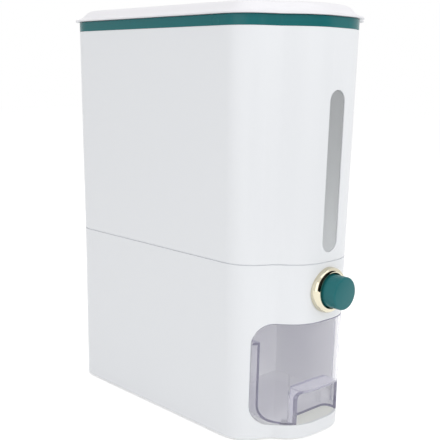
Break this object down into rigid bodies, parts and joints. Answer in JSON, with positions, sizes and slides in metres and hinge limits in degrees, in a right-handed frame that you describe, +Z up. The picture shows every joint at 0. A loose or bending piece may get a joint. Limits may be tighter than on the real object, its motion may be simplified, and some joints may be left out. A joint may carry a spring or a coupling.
{
  "type": "rice dispenser",
  "caption": "Free-standing rice dispenser: a lidded hopper with a level window over a base with a metering button and a clear pull-out drawer.",
  "frame": {"origin": "on the floor under the middle of the overall width and depth, button and lid included", "axes": "+Z up, front with button and drawer towards -Y, +X to the right of someone who faces the back"},
  "size_m": [0.1682, 0.3174, 0.3891],
  "materials": {
    "shell_white": "smooth white moulded plastic",
    "lid_white": "smooth white moulded plastic",
    "inner_white": "plain white moulded plastic",
    "slide_grey": "grey low-friction plastic",
    "trim_teal": "smooth dark teal plastic",
    "button_teal": "smooth teal plastic",
    "bezel_chrome": "cream-tinted bright plating",
    "lens_clear": "clear plastic",
    "drawer_clear": "clear plastic",
    "silicone": "translucent silicone",
    "foot_rubber": "grey rubber",
    "spring_steel": "plain spring wire",
    "screw_steel": "zinc-plated steel"
  },
  "bodies": {
    "housing": {"base_shell": "shell_white", "hopper": "shell_white", "bottom_cover": "inner_white", "drawer_bay": "inner_white", "deck": "inner_white", "chute": "inner_white", "gate_housing": "inner_white", "gate_cover": "inner_white", "bezel_nut": "inner_white", "trim_ring": "trim_teal", "button_bezel": "bezel_chrome", "window_lens": "lens_clear", "throat_seal": "silicone", "front_left_foot": "foot_rubber", "front_right_foot": "foot_rubber", "rear_left_foot": "foot_rubber", "rear_right_foot": "foot_rubber", "return_spring": "spring_steel", "cover_screws": "screw_steel", "bay_screws": "screw_steel", "deck_screws": "screw_steel", "gate_screws": "screw_steel", "hopper_screws": "screw_steel"},
    "lid": {"lid": "lid_white", "lid_seal": "silicone"},
    "drawer": {"drawer": "drawer_clear"},
    "button": {"push_button": "button_teal", "push_rod": "slide_grey", "gate_slide": "slide_grey"}
  },
  "joints": [
    {"name": "lid_lift", "type": "slide", "parent": "housing", "child": "lid", "axis": [0, 0, 1], "range_m": [0, 0.08]},
    {"name": "drawer_slide", "type": "slide", "parent": "housing", "child": "drawer", "axis": [0, -1, 0], "range_m": [0, 0.1]},
    {"name": "button_push", "type": "slide", "parent": "housing", "child": "button", "axis": [0, 1, 0], "range_m": [0, 0.011], "stiffness_N_per_m": 500, "springref_m": -0.006, "deforming": ["return_spring"]}
  ]
}
